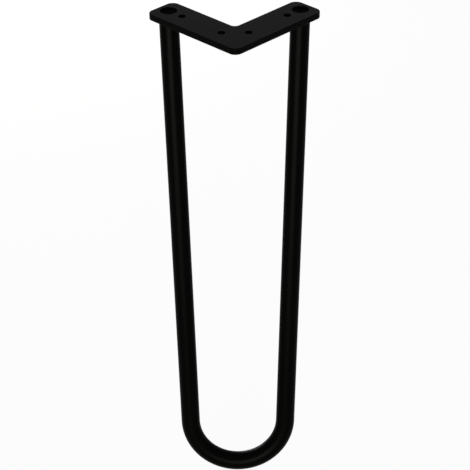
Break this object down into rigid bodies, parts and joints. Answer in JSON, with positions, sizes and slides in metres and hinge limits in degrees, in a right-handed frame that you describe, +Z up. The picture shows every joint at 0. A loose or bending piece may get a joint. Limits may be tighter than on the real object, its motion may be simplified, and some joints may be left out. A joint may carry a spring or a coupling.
{
  "type": "hairpin table leg",
  "caption": "Hairpin table leg: a round steel bar bent into a narrow leaning U, its ends plug-welded under a flat V-shaped plate with screw holes, powder-coated black.",
  "frame": {"origin": "the crossing of the two arms' centre lines on the plate's upper face, which meets the furniture", "axes": "+Z up out of the mounting face, +X across the V, +Y out between the arms; the bar runs down and leans towards -Y, under the corner"},
  "size_m": [0.102, 0.0749, 0.305],
  "materials": {
    "powder_coat": "satin",
    "coated_weld": "satin"
  },
  "bodies": {
    "root": {"mounting_plate": "powder_coat", "bent_rod": "powder_coat", "left_plug_weld": "coated_weld", "right_plug_weld": "coated_weld"}
  },
  "joints": []
}
